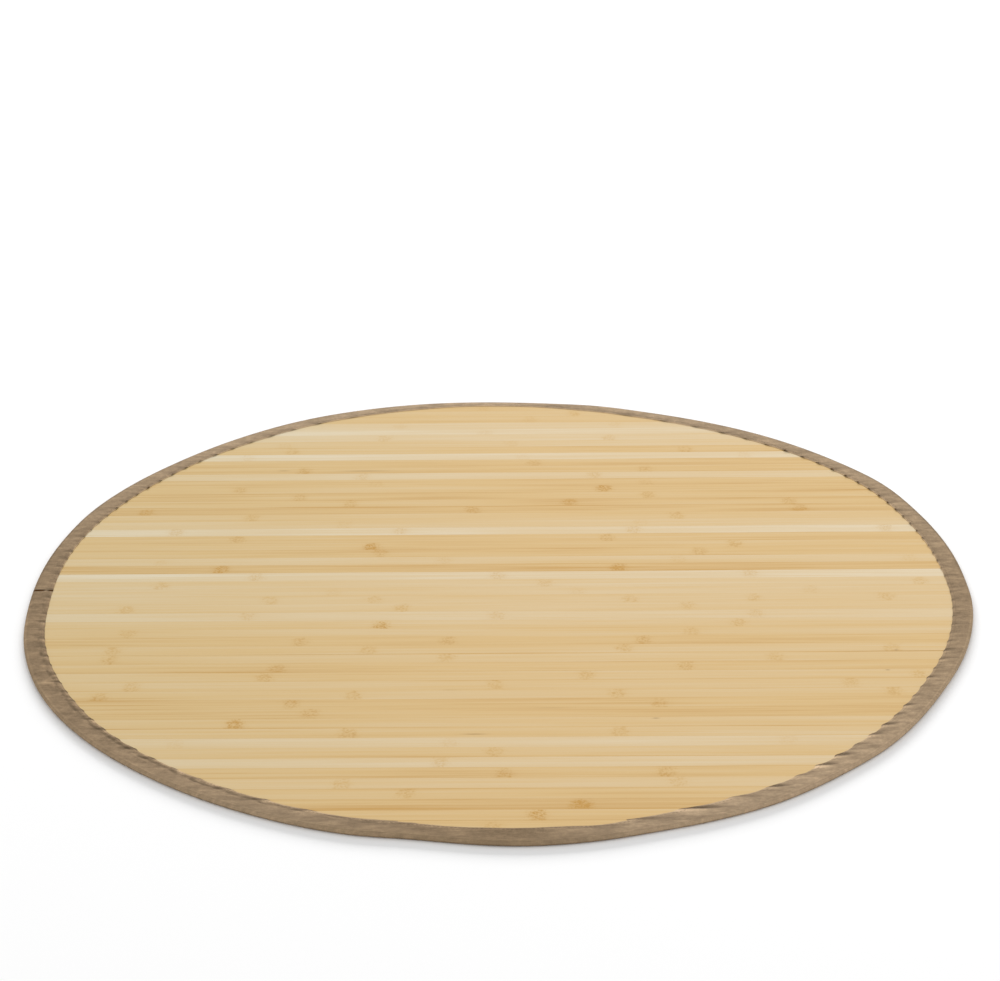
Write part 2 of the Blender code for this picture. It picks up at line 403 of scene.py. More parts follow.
class Graph:
    """Short calls for a material's nodes. An input takes a socket, a number or a colour."""

    def __init__(self, name):
        self.material = bpy.data.materials.new(name)
        self.material.use_nodes = True
        self.nodes = self.material.node_tree.nodes
        self.links = self.material.node_tree.links
        self.shader = self.nodes["Principled BSDF"]

    def put(self, socket, value):
        if isinstance(value, bpy.types.NodeSocket):
            self.links.new(value, socket)
        else:
            socket.default_value = value

    def node(self, kind, inputs=(), **settings):
        made = self.nodes.new(kind)
        for key, value in settings.items():
            setattr(made, key, value)
        for key, value in dict(inputs).items():
            self.put(made.inputs[key], value)
        return made

    def value(self, attribute):
        return self.node("ShaderNodeAttribute", attribute_name=attribute).outputs["Fac"]

    def math(self, operation, a, b=0.0, clamp=False):
        return self.node("ShaderNodeMath", {0: a, 1: b}, operation=operation, use_clamp=clamp).outputs[0]

    def add(self, *terms):
        total = terms[0]
        for term in terms[1:]:
            total = self.math("ADD", total, term)
        return total

    def times(self, *factors):
        total = factors[0]
        for factor in factors[1:]:
            total = self.math("MULTIPLY", total, factor)
        return total

    def swing(self, noise, amount):
        """A noise made to swing half the amount to either side of 0."""
        return self.times(self.add(noise, -0.5), amount)

    def spread(self, value, low, high, to_low=0.0, to_high=1.0, smooth=True):
        """Maps low..high to to_low..to_high, held at both ends."""
        inputs = {"Value": value, "From Min": low, "From Max": high, "To Min": to_low, "To Max": to_high}
        kind = "SMOOTHSTEP" if smooth else "LINEAR"
        return self.node("ShaderNodeMapRange", inputs, interpolation_type=kind).outputs["Result"]

    def bell(self, distance, half_width):
        share = self.math("DIVIDE", distance, half_width)
        return self.math("EXPONENT", self.times(share, share, -1.0))

    def place(self, *scales):
        """The point on the object, in metres, stretched by scales."""
        point = self.node("ShaderNodeTexCoord").outputs["Object"]
        if not scales:
            return point
        return self.node("ShaderNodeVectorMath", {0: point, 1: scales}, operation="MULTIPLY").outputs[0]

    def parts(self, vector):
        return self.node("ShaderNodeSeparateXYZ", {0: vector}).outputs[:2]

    def join(self, x, y, z=0.0):
        return self.node("ShaderNodeCombineXYZ", {0: x, 1: y, 2: z}).outputs[0]

    def noise(self, vector, scale=1.0, detail=2.0, roughness=0.5, w=0.0, twist=0.0):
        inputs = {"Vector": vector, "Scale": scale, "Detail": detail, "Roughness": roughness, "W": w}
        inputs["Distortion"] = twist
        return self.node("ShaderNodeTexNoise", inputs, noise_dimensions="4D").outputs["Fac"]

    def mix(self, share, a, b, blend="MIX"):
        made = self.node("ShaderNodeMix", data_type="RGBA", blend_type=blend)
        for socket, value in zip((made.inputs[0], made.inputs[6], made.inputs[7]), (share, a, b)):
            self.put(socket, value)
        return made.outputs[2]

    def ramp(self, value, stops):
        made = self.node("ShaderNodeValToRGB", {"Fac": value})
        elements = made.color_ramp.elements
        while len(elements) < len(stops):
            elements.new(0.5)
        for element, (place, colour) in zip(elements, stops):
            element.position = place
            element.color = colour
        return made.outputs["Color"]

    def finish(self, colour, roughness, height, height_scale, bump=1.0):
        """Joins the colour, the roughness and a height in metres to the shader."""
        inputs = {"Height": height, "Distance": height_scale, "Strength": bump}
        self.put(self.shader.inputs["Base Color"], colour)
        self.put(self.shader.inputs["Roughness"], roughness)
        self.put(self.shader.inputs["Normal"], self.node("ShaderNodeBump", inputs).outputs["Normal"])
        return self.material


def bamboo_mark(g, across, shifted):
    """A growth ring: a broken oval line, with dashes and a faint stain inside it."""
    wander = g.noise(g.place(120.0, 420.0, 0.0), detail=1.0, w=shifted)
    length = g.times(g.value("mark_offset"), 1 / MARK_HALF_LENGTH)
    spread = g.times(g.add(across, g.times(g.value("mark_seat"), -1.0)), 1 / MARK_HALF_SPREAD)
    reach = g.math("SQRT", g.add(g.times(length, length), g.times(spread, spread)))
    reach = g.add(reach, g.swing(wander, 2.4))
    breaks = g.spread(g.noise(g.place(330.0, 360.0, 0.0), detail=1.0, w=shifted), 0.46, 0.58)
    dashes = g.spread(g.noise(g.place(420.0, 430.0, 0.0), detail=1.0, w=g.add(shifted, 5.0)), 0.46, 0.62)
    window = g.bell(reach, 1.4)
    ring = g.times(g.bell(g.add(reach, -1.0), 0.4), breaks, 0.55)
    dashed = g.times(window, dashes, 0.8)
    stain = g.times(window, 0.3)
    return g.times(g.add(ring, dashed, stain), g.value("mark_strength"))


def bamboo_flecks(g):
    """The few short dark flecks, each at its own place."""
    x, y = g.parts(g.place())
    total = 0.0
    for fleck_x, fleck_y, half_length, half_width, darkness in FLECKS:
        along = g.bell(g.add(x, -fleck_x * MM), half_length * MM)
        aside = g.bell(g.add(y, -fleck_y * MM), half_width * MM)
        total = g.add(total, g.times(along, aside, darkness))
    return total


def bamboo_material():
    """Split bamboo: long fibres, growth rings across it, a darker line at each joint and painted shade
    towards the left.
    """
    g = Graph("bamboo")
    across = g.value("across")
    shifted = g.times(g.value("seed"), 40.0)
    bands = g.noise(g.place(4.0, 260.0, 0.0), detail=1.0, w=shifted)
    streaks = g.noise(g.place(7.0, 620.0, 0.0), detail=3.0, roughness=0.6, w=shifted)
    fibres = g.noise(g.place(22.0, 3600.0, 300.0), detail=2.0, roughness=0.65, w=shifted)
    drift = g.noise(g.place(3.2, 40.0, 0.0), detail=1.0, w=shifted)
    lines = g.spread(g.noise(g.place(5.0, 620.0, 0.0), detail=1.0, w=g.add(shifted, 3.0)), 0.62, 0.74)
    mark = bamboo_mark(g, across, shifted)
    flecks = bamboo_flecks(g)

    side = g.math("ABSOLUTE", across)
    near_joint = g.spread(g.add(side, g.swing(streaks, 0.2)), 0.80, 1.0)
    worn = g.noise(g.place(5.0, 4.0, 0.0), detail=2.0, w=g.add(shifted, 7.0))
    worn = g.spread(worn, 0.35, 0.65, 0.3, 1.0)
    joint_line = g.times(near_joint, worn, g.times(g.value("line"), 0.46))
    tone = g.add(
        g.value("tone"),
        g.swing(bands, 0.50),
        g.swing(streaks, 0.45),
        g.swing(drift, 0.45),
        g.times(lines, 0.18),
        g.times(mark, 0.4),
        joint_line,
        g.times(across, g.value("lean")),
    )
    stops = (
        (0.0, albedo(PALEST_BAMBOO, BAMBOO_GLOSS)),
        (0.15, albedo(PALE_BAMBOO, BAMBOO_GLOSS)),
        (0.71, albedo(HONEY_BAMBOO, BAMBOO_GLOSS)),
        (0.85, albedo(DARK_HONEY_BAMBOO, BAMBOO_GLOSS)),
        (1.0, albedo(DEEP_HONEY_BAMBOO, BAMBOO_GLOSS)),
    )
    colour = g.ramp(tone, stops)
    # Painted shade: darker towards the left.
    colour = g.mix(g.spread(g.parts(g.place())[0], 0.1, -0.5), colour, LEFT_PAINTED_SHADE, blend="MULTIPLY")
    colour = g.mix(g.times(g.spread(fibres, 0.5, 0.75), 0.16), colour, albedo(DEEP_HONEY_BAMBOO))
    colour = g.mix(g.math("MULTIPLY", mark, 0.5, clamp=True), colour, albedo(NODE_BROWN))
    colour = g.mix(flecks, colour, albedo(JOINT_BROWN))
    open_joint = g.times(g.value("joint"), g.spread(side, 0.93, 0.985), g.spread(streaks, 0.2, 0.6, 0.5))
    colour = g.mix(open_joint, colour, albedo(JOINT_BROWN))
    roughness = g.add(BAMBOO_ROUGHNESS - 0.06, g.times(streaks, 0.12), g.times(mark, 0.15))
    height = g.add(g.times(fibres, 0.5), g.times(streaks, 0.6), g.times(mark, 0.8))
    g.shader.inputs["Specular IOR Level"].default_value = BAMBOO_SPECULAR
    return g.finish(colour, roughness, height, 0.05 * MM, 0.7)


def tape_material():
    """Plain-woven cloth, darker in its creases by painted shade, and paler where it has faded and where
    painted light falls.
    """
    g = Graph("tape")
    along = g.value("along")
    across = g.value("across")
    turn = math.pi / WEAVE_PITCH
    warp = g.math("SINE", g.times(along, turn))
    weft = g.math("SINE", g.times(across, turn))
    weave = g.add(0.5, g.times(warp, weft, 0.5))
    yarns = g.noise(g.join(g.times(along, 260.0), g.times(across, 1500.0)), detail=2.0, w=1.0)
    slubs = g.noise(g.join(g.times(along, 1500.0), g.times(across, 240.0)), detail=2.0, w=2.0)
    ribs = g.noise(g.place(70.0, 480.0, 70.0), detail=3.0, roughness=0.6)
    mottle = g.noise(g.place(220.0, 220.0, 220.0), detail=3.0, roughness=0.6)
    cloud = g.noise(g.place(26.0, 26.0, 26.0), detail=2.0, w=3.0)
    shade = g.add(
        g.swing(weave, -0.2),
        g.swing(yarns, 0.5),
        g.swing(slubs, 0.6),
        g.swing(ribs, 1.0),
        g.swing(mottle, 0.9),
        g.swing(cloud, 0.65),
        # Painted shade and light of each point of the cloth.
        g.value("crease"),
    )
    shadow = g.math("POWER", TAPE_SHADOW, g.spread(shade, -1.0, 1.4, -1.0, 1.4, smooth=False))
    # Paler where faded, and where painted light from behind falls.
    shown = g.mix(g.value("fade_and_light"), albedo(TAPE_COLOUR), albedo(TAPE_FADED_AND_LIT))
    shown = g.mix(1.0, shown, shadow, blend="MULTIPLY")
    # Painted shadow in the hollows and the join.
    shown = g.mix(g.spread(g.value("crease"), 1.2, 2.0), shown, albedo(TAPE_HOLLOW_SHADOW))
    height = g.add(weave, g.times(slubs, 0.6), g.times(yarns, 0.4))
    g.shader.inputs["Specular IOR Level"].default_value = CLOTH_SPECULAR
    return g.finish(shown, CLOTH_ROUGHNESS, height, 0.12 * MM, 0.8)


def thread_material():
    """Twisted sewing thread, paler with the tape where the cloth has faded and where painted light falls."""
    g = Graph("thread")
    twist = g.times(g.add(g.value("along"), g.value("across")), FULL_TURN / THREAD_TWIST)
    strand = g.spread(g.math("SINE", twist), -1.0, 1.0)
    colour = g.mix(strand, albedo(THREAD_DARK), albedo(THREAD_COLOUR))
    # Fading and painted light, as on the tape.
    colour = g.mix(g.value("fade_and_light"), colour, albedo(TAPE_FADED_AND_LIT))
    return g.finish(colour, 0.7, strand, 0.05 * MM, 0.6)


def felt_material():
    """Pressed felt: matted fibres with no direction of their own."""
    g = Graph("felt")
    matted = g.noise(g.place(900.0, 900.0, 900.0), detail=3.0, roughness=0.7, twist=1.5)
    fibres = g.noise(g.place(2600.0, 420.0, 500.0), detail=2.0, twist=2.5)
    cloud = g.noise(g.place(40.0, 40.0, 40.0), detail=2.0)
    shade = g.add(g.times(matted, 0.5), g.times(fibres, 0.3), g.times(cloud, 0.2))
    colour = g.mix(g.spread(shade, 0.35, 0.65), albedo(BACKING_COLOUR), albedo(BACKING_LIGHT))
    return g.finish(colour, 0.95, g.add(matted, fibres), 0.25 * MM, 0.8)


class SlatRow:
    """The row of slats as the frame has it: its pitch, its first edge and its heights."""

    def __init__(self):
        self.names = sorted(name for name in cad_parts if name.startswith("slat_"))
        second, last_but_one = self.names[1], self.names[-2]
        low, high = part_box(second)
        self.pitch = (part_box(last_but_one)[0].y - low.y) / (len(self.names) - 3)
        self.first_edge = low.y - self.pitch - (self.pitch - (high.y - low.y)) / 2
        self.floor = low.z
        self.top = high.z

    def joint(self, number):
        """Y of the joint in front of slat number + 1. Joint 0 is the row's front edge."""
        return self.first_edge + number * self.pitch


def chord(vertices, edges, y):
    """The lowest and highest X at which a mesh's edges cross the plane at y."""
    start, end = vertices[edges[:, 0]], vertices[edges[:, 1]]
    crosses = (start[:, 1] - y) * (end[:, 1] - y) < 0
    start, end = start[crosses], end[crosses]
    share = (y - start[:, 1]) / (end[:, 1] - start[:, 1])
    x = start[:, 0] + share * (end[:, 0] - start[:, 0])
    return x.min(), x.max()


def joint_gap(number, x):
    """Half the opening of the joint in front of a slat, along it."""
    usual = random.Random(JOINT_SEED + number).uniform(*SLAT_JOINT_MM) * MM
    return (usual + OPEN_JOINT * joint_darkness(number, x)) / 2


def slat_section(half_width, floor, top):
    """The outline of a slat's end, from the foot of its front edge over the top: points of (y, z)."""
    outline = [(-half_width + SLAT_FOOT, floor), (-half_width, floor + SLAT_FOOT)]
    ease = half_width - SLAT_EASE
    for step in range(EASE_STEPS):
        turn = math.radians(90) * step / (EASE_STEPS - 1)
        outline.append((-ease - SLAT_EASE * math.cos(turn), top - SLAT_EASE * (1 - math.sin(turn))))
    for place in CROWN_PLACES:
        outline.append((ease * place, top + SLAT_CROWN * (1 - place**2)))
    return outline + [(-y, z) for y, z in reversed(outline[: 2 + EASE_STEPS])]


def slat_marks(number, rng):
    """Where growth rings cross a slat, in metres, and how strong each is: faint if none is charted."""
    marks = []
    for cm in SLAT_MARKS.get(number, ()):
        marks.append((cm / 100, STRONG_MARK if (number, cm) in STRONG_MARKS else USUAL_MARK))
    if marks:
        return marks
    place = -0.5 + rng.uniform(0, MARK_PITCH[1])
    while place < 0.5:
        marks.append((place, FAINT_MARK))
        place += rng.uniform(*MARK_PITCH)
    return marks


def joint_darkness(number, x):
    """How dark the joint in front of a slat is, along it."""
    dark = np.zeros_like(x)
    for slat, start, end, darkness in DARK_JOINTS:
        if slat == number:
            rise = np.clip((x - start / 100) / JOINT_FADE + 0.5, 0, 1)
            fall = np.clip((end / 100 - x) / JOINT_FADE + 0.5, 0, 1)
            dark = np.maximum(dark, darkness * rise * fall)
    return dark


def slat_points(row, number, rng):
    """A slat as rows of its section, from its left end to its right one, cut to its CAD outline."""
    name = row.names[number - 1]
    vertices = cad_vertices(name)
    edges = np.array([edge.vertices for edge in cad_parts[name].data.edges])
    low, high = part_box(name)
    middle = row.joint(number - 0.5)
    half_width = row.pitch / 2
    section = slat_section(half_width, row.floor, row.top - SLAT_CROWN)
    sink = rng.uniform(0, SLAT_SINK)
    tilt = rng.uniform(-1, 1) * SLAT_SINK / 2
    shares = np.linspace(0, 1, SLAT_STATIONS)
    points = np.zeros((SLAT_STATIONS, len(section), 3))
    for column, (y, z) in enumerate(section):
        left, right = chord(vertices, edges, min(max(middle + y, low.y + CLIP), high.y - CLIP))
        x = left + (right - left) * shares
        gap = joint_gap(number, x) if y < 0 else -joint_gap(number + 1, x)
        points[:, column, 0] = x
        points[:, column, 1] = np.clip(middle + y, low.y - CLIP, high.y + CLIP) + gap * abs(y / half_width)
        points[:, column, 2] = z - (z > row.floor + SLAT_FOOT) * (sink + tilt * y / half_width)
    across = np.tile([y / half_width for y, _ in section], SLAT_STATIONS)
    return points, across


def mark_values(number, x, rng):
    """For points at x on a slat: the way to the nearest growth ring, its strength and its seat across."""
    offset = np.full_like(x, 1.0)
    strength = np.zeros_like(x)
    seat = np.zeros_like(x)
    for place, force in slat_marks(number, rng):
        near = np.abs(x - place) < np.abs(offset)
        offset[near] = (x - place)[near]
        strength[near] = force * rng.uniform(*MARK_FORCE)
        seat[near] = rng.uniform(*MARK_SEAT)
    strength[np.abs(offset) > MARK_REACH] = 0
    offset = np.clip(offset, -MARK_FAR, MARK_FAR)
    return {"mark_offset": offset, "mark_strength": strength, "mark_seat": seat}


def make_slat(row, number, material):
    """One slat, with the values that its material reads."""
    name = row.names[number - 1]
    rng = random.Random(number)
    points, across = slat_points(row, number, rng)
    mesh = grid_mesh(f"bamboo_{name}", points, "face")
    x = points[..., 0].ravel()
    in_front = across < 0
    line = np.where(in_front, int(JOINT_LINES[number - 1]), int(JOINT_LINES[number])) / CLEAREST_LINE
    joint = np.where(in_front, joint_darkness(number, x), joint_darkness(number + 1, x))
    values = mark_values(number, x, rng)
    values["tone"] = TONES[int(SLAT_TONES[number - 1])]
    values["seed"] = rng.random()
    values["lean"] = rng.uniform(-LEAN, LEAN)
    values["across"] = across
    values["line"] = line
    values["joint"] = joint
    for key, value in values.items():
        add_values(mesh, key, value)
    return add_piece(f"bamboo_{name}", mesh, material, "bamboo", name)


class Ring:
    """A smooth closed outline round the rug: a radius for each angle."""

    def __init__(self, vertices):
        angles = np.arctan2(vertices[:, 1], vertices[:, 0])
        order = np.argsort(angles)
        measured = np.hypot(vertices[:, 0], vertices[:, 1])
        self.angles = np.arange(RING_STEPS) * FULL_TURN / RING_STEPS
        radii = np.interp(self.angles, angles[order], measured[order], period=FULL_TURN)
        away = np.minimum(self.angles, FULL_TURN - self.angles)
        spread = bell(away, RING_SMOOTH)
        self.radii = np.fft.irfft(np.fft.rfft(radii) * np.fft.rfft(spread / spread.sum()), RING_STEPS)

    def at(self, angle):
        return np.interp(angle, self.angles, self.radii, period=FULL_TURN)

    def side(self, y, side):
        """The angle at which a line along X at height y meets the outline."""
        angle = np.zeros_like(y)
        for _ in range(8):
            angle = np.arcsin(y / self.at(angle if side > 0 else math.pi - angle))
        return angle if side > 0 else math.pi - angle


def tape_rings(row):
    """The rim and the tape's inner edge, read from the frame's binding."""
    vertices = cad_vertices("binding")
    radii = np.hypot(vertices[:, 0], vertices[:, 1])
    angles = np.arctan2(vertices[:, 1], vertices[:, 0])
    tape_top = row.top + TAPE_CLEAR + TAPE_THICK
    half_up = np.flatnonzero(np.abs(vertices[:, 2] - tape_top / 2) < SAME_LEVEL)
    outermost = []
    for i in half_up:
        turned = np.abs((angles[half_up] - angles[i] + math.pi) % FULL_TURN - math.pi)
        beside = half_up[turned < SAME_ANGLE]
        if radii[i] > radii[beside].max() - RIM_DEPTH:
            outermost.append(i)
    rim = Ring(vertices[outermost])
    on_top = vertices[:, 2] > tape_top - SAME_LEVEL
    inner = on_top & (rim.at(angles) - radii > TAPE_MIDDLE_INSET)
    edge = Ring(vertices[inner])
    rim.radii -= RIM_TRIM
    return rim, edge


def side_rows(row, rim, edge, side):
    """Sections of the tape at one side, each on a line of equal y, front to back, closer at the joints."""
    steps = np.arange(ROWS_A_SLAT) / ROWS_A_SLAT
    shares = steps - ROW_CROWDING * np.sin(FULL_TURN * steps) / FULL_TURN
    y = np.concatenate([row.joint(number + shares) for number in range(len(row.names))])
    y = y[np.abs(y) < SIDE_REACH]
    return np.stack([y, rim.side(y, side), edge.side(y, side)], axis=1)


def cap_rows(start, end):
    """Sections between two side sections, where the tape runs along the slats."""
    shares = np.arange(1, CAP_ROWS)[:, None] / CAP_ROWS
    turned = (end - start)[1:] % FULL_TURN
    angles = start[1:] + shares * turned
    return np.hstack([np.full_like(shares, np.nan), angles])


def tape_rows(row, rim, edge):
    """The tape's sections, counter-clockwise from its end in front of the join: y, rim angle, edge angle."""
    join = row.joint(JOIN_SLAT)
    left = side_rows(row, rim, edge, -1)
    right = side_rows(row, rim, edge, 1)
    ends = np.full(2, join)
    ends = np.stack([ends, rim.side(ends, -1), edge.side(ends, -1)], axis=1)
    clear = JOIN_GAP / 2 + 2 * JOIN_ROLL
    front = left[left[:, 0] < join - clear][::-1]
    back = left[left[:, 0] > join + clear][::-1]
    caps = cap_rows(front[-1], right[0]), cap_rows(right[-1], back[0])
    return np.vstack([ends[:1], ends[:1], front, caps[0], right, caps[1], back, ends[1:], ends[1:]])


def walk(angle, column):
    """One column of TAPE_WALK at each angle round the rim."""
    table = np.array(TAPE_WALK)
    values = table[:, TAPE_COLUMNS.index(column)]
    return np.interp(np.degrees(angle), table[:, 0], values, period=360)


def ripple(points, stretch, seed):
    """Smooth noise from -1 to 1 at each point."""
    shift = Vector((seed * 7.3, seed * 3.1, seed * 1.7))
    stretched = points.reshape(-1, 3) * np.array(stretch)
    values = [noise.noise(Vector(point) + shift) for point in stretched]
    return np.array(values).reshape(points.shape[:-1])


def path_lengths(path):
    """How far along a path each of its points is."""
    steps = np.linalg.norm(np.diff(path, axis=0), axis=1)
    return np.concatenate([[0], np.cumsum(steps)])


class Tape:
    """The binding's sections round the rim, how the cloth folds and lies at each, and the painted shade and
    light on it.
    """

    def __init__(self, row, rim, edge):
        self.y, self.rim_angle, self.edge_angle = tape_rows(row, rim, edge).T
        self.rim = rim
        self.top = row.top + TAPE_CLEAR + TAPE_THICK
        self.slant = (self.edge_angle - self.rim_angle + math.pi) % FULL_TURN - math.pi
        self.width = rim.at(self.edge_angle) - edge.at(self.edge_angle)
        self.hemmed = walk(self.rim_angle, "hem")
        self.faded_and_lit = walk(self.rim_angle, "fade_and_light")
        self.held_down = np.clip(0.5 + HOLD_TURN * np.sin(self.rim_angle), 0, 1)
        self.crease(row)
        self.trim(edge)
        self.lay()

    def crease(self, row):
        """The creases across the tape at the joints. Each end of each joint has creases of its own."""
        self.at_side = ~np.isnan(self.y)
        phase = np.where(self.at_side, (self.y - row.first_edge) / row.pitch, 0.5)
        nearest = np.round(phase).astype(int)
        self.from_joint = np.where(self.at_side, (phase - nearest) * row.pitch, row.pitch / 2)
        joint_end = nearest * 2 + (np.cos(self.rim_angle) > 0)
        ends = range(2 * len(row.names) + 2)
        rng = random.Random(CREASE_SEED)
        self.force = np.array([rng.uniform(*CREASE_FORCE) for _ in ends])[joint_end]
        second_place = [rng.uniform(-SECOND_CREASE_MM, SECOND_CREASE_MM) * MM for _ in ends]
        from_second = self.from_joint - np.array(second_place)[joint_end]
        second_force = np.array([rng.choice(SECOND_CREASE_FORCES) for _ in ends])[joint_end]
        dips = bell(self.from_joint, CREASE_HALF_WIDTH) * self.force
        dips = dips + bell(from_second, SECOND_CREASE_WIDTH * CREASE_HALF_WIDTH) * second_force
        lit_sides = bell(self.from_joint + 2 * CREASE_HALF_WIDTH, CREASE_HALF_WIDTH) * self.force
        self.creased = walk(self.rim_angle, "crease")
        self.crease_line = np.where(self.at_side, dips, 0) * self.creased
        self.crease_light = np.where(self.at_side, lit_sides, 0) * self.creased
        bulge = 1 - (2 * self.from_joint / row.pitch) ** 2
        self.pillow = np.where(self.at_side, bulge, CAP_PILLOW) * self.creased
        lifted = np.where(self.at_side, walk(self.rim_angle, "lift"), 0)
        self.lifted = lifted * (LEAST_LIFT + (1 - LEAST_LIFT) * self.force)
        self.arch = bell(self.from_joint, LIFT_HALF_WIDTH) * self.lifted

    def trim(self, edge):
        """How far the inner edge is moved out from the CAD one, less its bumps, scallops and small jags."""
        from_bump = self.from_joint - BUMP_PLACE
        on_edge = polar(edge.at(self.edge_angle), self.edge_angle, 0)
        scallop = bell(from_bump, SCALLOP_HALF_WIDTH) * self.force * np.clip(2 * self.creased - 1, 0, 1)
        jag = np.clip(JAG_GAIN * ripple(on_edge, *JAGS) - JAG_FLOOR, 0, 1)
        self.edge_shift = walk(self.rim_angle, "trim_mm") * MM - RIM_TRIM
        self.edge_shift -= BUMP_REACH * bell(from_bump, BUMP_HALF_WIDTH) * self.lifted
        self.edge_shift -= SCALLOP_REACH * np.where(self.at_side, scallop, 0)
        self.edge_shift -= EDGE_JAG * self.hemmed * jag

    def lay(self):
        """The top face, inner edge to rim: its columns' insets from the rim, and the relief of the cloth."""
        width = self.width[:, None]
        hemmed = self.hemmed[:, None]
        from_edge = np.array(TOP_FROM_EDGE) * MM
        near = width - self.edge_shift[:, None] - from_edge
        shares = np.arange(1, TOP_STEPS + 1) / TOP_STEPS
        far = near[:, -1:] + (FOLD_REACH - near[:, -1:]) * shares
        inset = np.hstack([near, far])
        from_inner = width - inset - self.edge_shift[:, None]
        angle = self.rim_angle[:, None] + self.slant[:, None] * inset / width
        spots = polar(self.rim.at(angle) - inset, angle, 0)
        past_fold = np.clip(inset / FOLD_REACH - 1, 0, 1)

        self.inset = inset
        self.crease_share = np.clip((inset / width - CREASE_STARTS) / CREASE_GROWS, 0, 1)
        self.waves = ripple(spots, *WAVES) + 0.5 * ripple(spots, *FINE_WAVES)
        self.hem_line = hemmed * bell(from_inner - HEM_WIDTH - HEM_WANDER * self.waves, HEM_HALF_WIDTH)
        self.hem_roll = hemmed * bell(from_inner - HEM_WIDTH / 2, HEM_WIDTH / 3)
        self.crumple = ripple(spots, *CRUMPLES) * hemmed * np.clip(2 - from_inner / HEM_WIDTH, 0, 1)
        self.hem_folds = ripple(spots, *HEM_FOLDS) * hemmed

        relief = PILLOW_HEIGHT * self.pillow[:, None] * past_fold
        relief -= CREASE_DEPTH * self.crease_line[:, None] * self.crease_share
        relief -= SEAM_DEPTH * bell(from_inner - from_edge[SEAM_COLUMN], SEAM_HALF_WIDTH)
        relief += RIPPLE_HEIGHT * self.waves * past_fold
        relief += HEM_RISE * self.hem_roll - HEM_DEPTH * self.hem_line
        relief += CRUMPLE_HEIGHT * self.crumple + HEM_FOLD_HEIGHT * self.hem_folds
        relief *= 1 - self.held_down[:, None] * np.exp(-np.maximum(from_inner, 0) / EDGE_HOLD)
        relief += LIFT_HEIGHT * self.arch[:, None] * np.exp(-np.maximum(from_inner, 0) / LIFT_REACH)
        self.relief = relief

    def points(self):
        """Each section as a closed loop, round the outside of the cloth and back inside, and its insets."""
        outer_z = self.top + self.relief
        inner_z = self.top + np.maximum(self.relief, -SEAT_SHARE * TAPE_CLEAR) - TAPE_THICK
        for column, fall in enumerate(EDGE_FALL):
            outer_z[:, column] -= fall * MM
            inner_z[:, column] -= EDGE_SEAT * fall * MM

        turns = math.radians(90) - math.radians(180) * np.arange(1, FOLD_STEPS + 1) / FOLD_STEPS
        half = self.top / 2
        inner_reach = FOLD_REACH - TAPE_THICK
        under = np.array(UNDER_INSETS) * MM

        def section(top, fold, flap):
            """Rows of the top face, the fold over the rim and the lower flap, on one face of the cloth."""
            rest = np.concatenate([fold, flap])
            return np.hstack([top, np.broadcast_to(rest, (len(top), len(rest)))])

        def loop(outer, inner):
            return np.hstack([outer, inner[:, ::-1]])

        inset = loop(
            section(self.inset, FOLD_REACH * (1 - np.cos(turns)), under),
            section(self.inset, FOLD_REACH - inner_reach * np.cos(turns), under),
        )
        height = loop(
            section(outer_z, half * (1 + np.sin(turns)), 0 * under),
            section(inner_z, half + (half - TAPE_THICK) * np.sin(turns), 0 * under + TAPE_THICK),
        )
        share = section(self.inset / self.width[:, None], 0 * turns, 0 * under)
        angle = self.rim_angle[:, None] + self.slant[:, None] * loop(share, share)
        points = polar(self.rim.at(angle) - inset, angle, height)
        open_join(points, inset / self.width[:, None], columns_on_top=self.inset.shape[1])
        return points, inset

    def darkness(self, inset):
        """How much darker than plain cloth each point is, by painted shade. Below 0 it is paler, by painted
        light.
        """
        tops = self.inset.shape[1]
        outer = inset.shape[1] // 2
        held_down = self.held_down[:, None]
        dark = np.zeros_like(inset)
        # Painted shade in the creases, and painted highlight on the sides that face the light.
        creases = CREASE_DARK * self.crease_line + CREASE_LIGHT * self.crease_light
        dark[:, :tops] = creases[:, None] * self.crease_share
        # Painted shade in the hollows of the waves, crumples and hem folds, and painted highlight on their
        # rises.
        dark[:, :tops] += WAVE_DARK * self.waves + CRUMPLE_DARK * self.crumple
        dark[:, :tops] += HEM_FOLD_DARK * self.hem_folds
        # Painted shade in the hem's groove, broken where the waves rise.
        broken = np.clip(HEM_LINE_USUAL + self.waves, 0, HEM_LINE_MOST)
        dark[:, :tops] += HEM_LINE_DARK * self.hem_line * broken
        # Painted highlight on the raised roll beside the hem.
        dark[:, :tops] += HEM_ROLL_DARK * self.hem_roll
        # Painted light on the inner edge in the back half, where its turned-down slope gets no light from
        # behind.
        dark[:, :TURNED_COLUMNS] += TURNED_DARK * held_down
        # Painted shadow under the inner edge where it lifts at the joints.
        dark[:, :NOTCH_COLUMNS] += NOTCH_DARK * np.minimum(self.arch, 1)[:, None] ** NOTCH_POWER
        # Painted light on the fold over the rim in front, where it faces away from the lamp, and painted
        # shade on it behind.
        on_fold = slice(tops - 1, tops + FOLD_STEPS // 2)
        dark[:, on_fold] += RIM_DARK_IN_FRONT + (RIM_DARK_BEHIND - RIM_DARK_IN_FRONT) * held_down
        # Painted shadow on the inside of the cloth, where it shows under the lifted edge.
        dark[:, outer:] = HOLLOW_SHADOW_DARK
        dark[:, -1] = dark[:, 0]
        # Painted shadow on the rows beside the join, where its two ends stand apart.
        apart = np.abs(np.sin(math.pi * (inset[0] / self.width[0] - JOIN_TOUCH)))
        dark[[0, 1, -2, -1]] = HOLLOW_SHADOW_DARK * np.clip(JOIN_DARK_GAIN * apart - JOIN_DARK_FLOOR, 0, 1)
